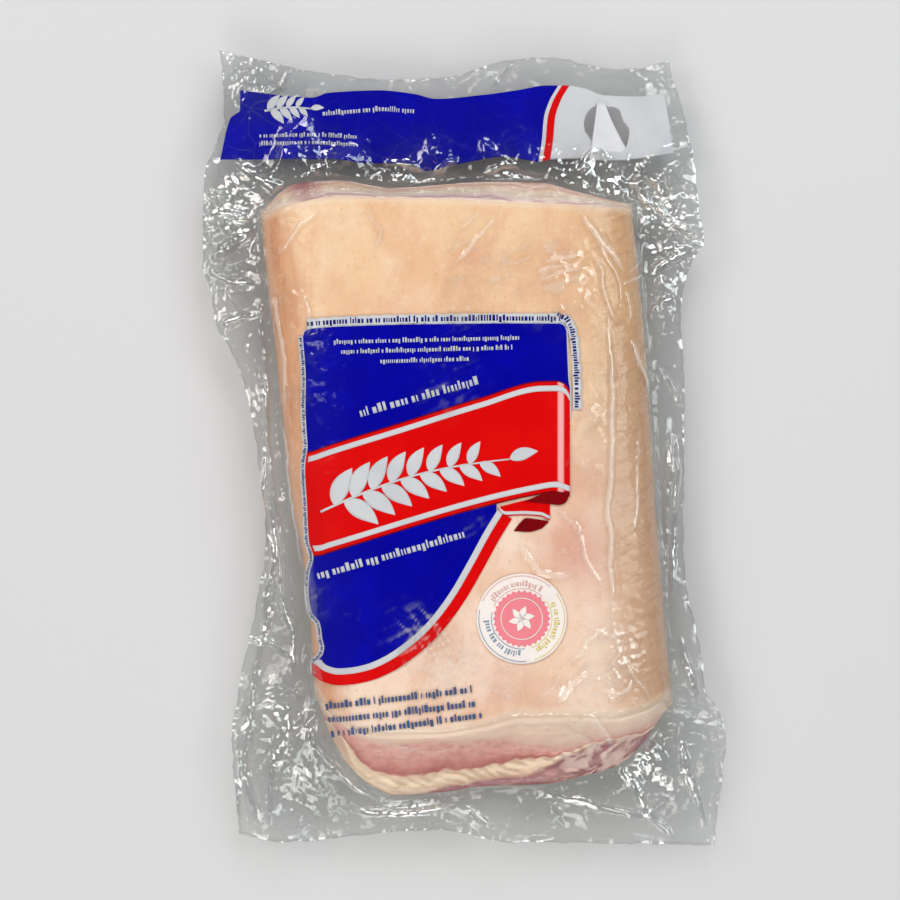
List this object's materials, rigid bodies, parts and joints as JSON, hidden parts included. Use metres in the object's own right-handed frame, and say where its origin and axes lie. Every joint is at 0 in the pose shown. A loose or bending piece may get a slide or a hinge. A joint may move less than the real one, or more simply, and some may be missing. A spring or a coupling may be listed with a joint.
{
  "type": "vacuum-packed porchetta",
  "caption": "Clear vacuum pouch drawn tight over a flattened roll of pork with its rind on, with a printed front, a loose film margin all round and a round hang hole in its header.",
  "frame": {"origin": "on the resting plane, under the middle of the pouch's outline", "axes": "+X to the right of the printed front, +Y up the front to the header with the hang hole, +Z out of the front"},
  "size_m": [0.215, 0.327, 0.0429],
  "materials": {
    "rind": "smooth raw pork rind under tight film, pale tan",
    "pork": "cut raw pork, bands of cream fat and pale pink lean, moist",
    "film": "clear glossy barrier film, crumpled",
    "print_blue": "blue ink printed behind gloss film",
    "print_red": "red ink printed behind gloss film",
    "print_white": "white ink printed behind gloss film"
  },
  "bodies": {
    "root": {"vacuum_pouch": "rind"}
  },
  "joints": []
}
